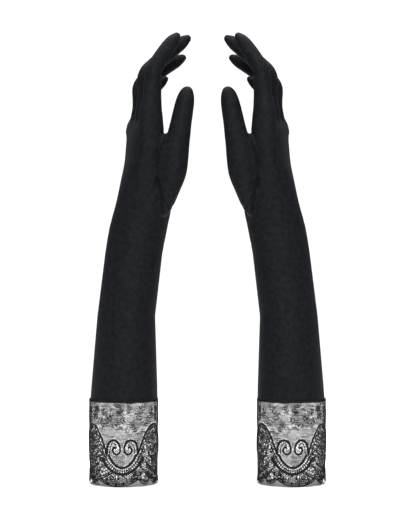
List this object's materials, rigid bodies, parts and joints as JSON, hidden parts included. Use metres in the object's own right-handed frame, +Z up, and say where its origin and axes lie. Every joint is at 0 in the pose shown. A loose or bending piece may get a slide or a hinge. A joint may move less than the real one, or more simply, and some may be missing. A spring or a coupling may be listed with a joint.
{
  "type": "opera gloves",
  "caption": "Pair of long black satin-knit opera gloves, shaped as worn on raised arms, with scalloped lace cuffs.",
  "frame": {"origin": "on the plane of the cuffs' lowest points, midway between the two gloves", "axes": "+Z up along the gloves to the fingertips, +X from the left glove to the right one, +Y away from the thumbs' side"},
  "size_m": [0.2484, 0.0761, 0.4696],
  "materials": {
    "satin": "black stretch satin knit with a soft low sheen",
    "lace": "black corded lace on a fine net ground",
    "elastic": "matte black narrow elastic tape"
  },
  "bodies": {
    "left_arm": {"left_lace_cuff": "lace", "left_cuff_band": "elastic", "left_sleeve": "satin"},
    "left_hand": {"left_palm": "satin", "left_back": "satin", "left_thumb_gusset": "satin", "left_index_middle_fourchette": "satin", "left_middle_ring_fourchette": "satin", "left_ring_little_fourchette": "satin"},
    "left_thumb": {"left_thumb_stall": "satin"},
    "left_index_base": {"left_index_base": "satin"},
    "left_index_tip": {"left_index_tip": "satin"},
    "left_middle_base": {"left_middle_base": "satin"},
    "left_middle_tip": {"left_middle_tip": "satin"},
    "left_ring_base": {"left_ring_base": "satin"},
    "left_ring_tip": {"left_ring_tip": "satin"},
    "left_little_base": {"left_little_base": "satin"},
    "left_little_tip": {"left_little_tip": "satin"},
    "right_arm": {"right_lace_cuff": "lace", "right_cuff_band": "elastic", "right_sleeve": "satin"},
    "right_hand": {"right_palm": "satin", "right_back": "satin", "right_thumb_gusset": "satin", "right_index_middle_fourchette": "satin", "right_middle_ring_fourchette": "satin", "right_ring_little_fourchette": "satin"},
    "right_thumb": {"right_thumb_stall": "satin"},
    "right_index_base": {"right_index_base": "satin"},
    "right_index_tip": {"right_index_tip": "satin"},
    "right_middle_base": {"right_middle_base": "satin"},
    "right_middle_tip": {"right_middle_tip": "satin"},
    "right_ring_base": {"right_ring_base": "satin"},
    "right_ring_tip": {"right_ring_tip": "satin"},
    "right_little_base": {"right_little_base": "satin"},
    "right_little_tip": {"right_little_tip": "satin"}
  },
  "joints": [
    {"name": "gloves_apart", "type": "slide", "parent": "left_arm", "child": "right_arm", "axis": [1, 0, 0], "range_m": [0, 0.15]},
    {"name": "left_wrist", "type": "hinge", "parent": "left_arm", "child": "left_hand", "pos_m": [-0.0728, 0, 0.2665], "axis": [0, 1, 0], "range_deg": [-40, 8]},
    {"name": "left_thumb", "type": "hinge", "parent": "left_hand", "child": "left_thumb", "pos_m": [-0.03, -0.0265, 0.3635], "axis": [-0.2419, 0.9703, 0], "range_deg": [-12, 25]},
    {"name": "left_index_root", "type": "hinge", "parent": "left_hand", "child": "left_index_base", "pos_m": [-0.05811, -0.02765, 0.385], "axis": [-0.2419, 0.9703, 0], "range_deg": [-20, 30]},
    {"name": "left_index_middle_joint", "type": "hinge", "parent": "left_index_base", "child": "left_index_tip", "pos_m": [-0.05579, -0.02708, 0.43044], "axis": [0.2419, -0.9703, 0], "range_deg": [-45, 30]},
    {"name": "left_middle_root", "type": "hinge", "parent": "left_hand", "child": "left_middle_base", "pos_m": [-0.0627, -0.00922, 0.3885], "axis": [-0.2419, 0.9703, 0], "range_deg": [-20, 55]},
    {"name": "left_middle_middle_joint", "type": "hinge", "parent": "left_middle_base", "child": "left_middle_tip", "pos_m": [-0.06538, -0.00988, 0.4279], "axis": [-0.2419, 0.9703, 0], "range_deg": [-45, 30]},
    {"name": "left_ring_root", "type": "hinge", "parent": "left_hand", "child": "left_ring_base", "pos_m": [-0.0673, 0.00922, 0.383], "axis": [-0.2419, 0.9703, 0], "range_deg": [-20, 60]},
    {"name": "left_ring_middle_joint", "type": "hinge", "parent": "left_ring_base", "child": "left_ring_tip", "pos_m": [-0.07213, 0.00801, 0.41845], "axis": [-0.2419, 0.9703, 0], "range_deg": [-50, 25]},
    {"name": "left_little_root", "type": "hinge", "parent": "left_hand", "child": "left_little_base", "pos_m": [-0.07165, 0.02668, 0.374], "axis": [-0.2419, 0.9703, 0], "range_deg": [-20, 60]},
    {"name": "left_little_middle_joint", "type": "hinge", "parent": "left_little_base", "child": "left_little_tip", "pos_m": [-0.06995, 0.02711, 0.40745], "axis": [-0.2419, 0.9703, 0], "range_deg": [-42, 35]},
    {"name": "right_wrist", "type": "hinge", "parent": "right_arm", "child": "right_hand", "pos_m": [0.0728, 0, 0.2665], "axis": [0, -1, 0], "range_deg": [-40, 8]},
    {"name": "right_thumb", "type": "hinge", "parent": "right_hand", "child": "right_thumb", "pos_m": [0.03, -0.0265, 0.3635], "axis": [-0.2419, -0.9703, 0], "range_deg": [-12, 25]},
    {"name": "right_index_root", "type": "hinge", "parent": "right_hand", "child": "right_index_base", "pos_m": [0.05811, -0.02765, 0.385], "axis": [-0.2419, -0.9703, 0], "range_deg": [-20, 30]},
    {"name": "right_index_middle_joint", "type": "hinge", "parent": "right_index_base", "child": "right_index_tip", "pos_m": [0.05579, -0.02708, 0.43044], "axis": [0.2419, 0.9703, 0], "range_deg": [-45, 30]},
    {"name": "right_middle_root", "type": "hinge", "parent": "right_hand", "child": "right_middle_base", "pos_m": [0.0627, -0.00922, 0.3885], "axis": [-0.2419, -0.9703, 0], "range_deg": [-20, 55]},
    {"name": "right_middle_middle_joint", "type": "hinge", "parent": "right_middle_base", "child": "right_middle_tip", "pos_m": [0.06538, -0.00988, 0.4279], "axis": [-0.2419, -0.9703, 0], "range_deg": [-45, 30]},
    {"name": "right_ring_root", "type": "hinge", "parent": "right_hand", "child": "right_ring_base", "pos_m": [0.0673, 0.00922, 0.383], "axis": [-0.2419, -0.9703, 0], "range_deg": [-20, 60]},
    {"name": "right_ring_middle_joint", "type": "hinge", "parent": "right_ring_base", "child": "right_ring_tip", "pos_m": [0.07213, 0.00801, 0.41845], "axis": [-0.2419, -0.9703, 0], "range_deg": [-50, 25]},
    {"name": "right_little_root", "type": "hinge", "parent": "right_hand", "child": "right_little_base", "pos_m": [0.07165, 0.02668, 0.374], "axis": [-0.2419, -0.9703, 0], "range_deg": [-20, 60]},
    {"name": "right_little_middle_joint", "type": "hinge", "parent": "right_little_base", "child": "right_little_tip", "pos_m": [0.06995, 0.02711, 0.40745], "axis": [-0.2419, -0.9703, 0], "range_deg": [-42, 35]}
  ]
}
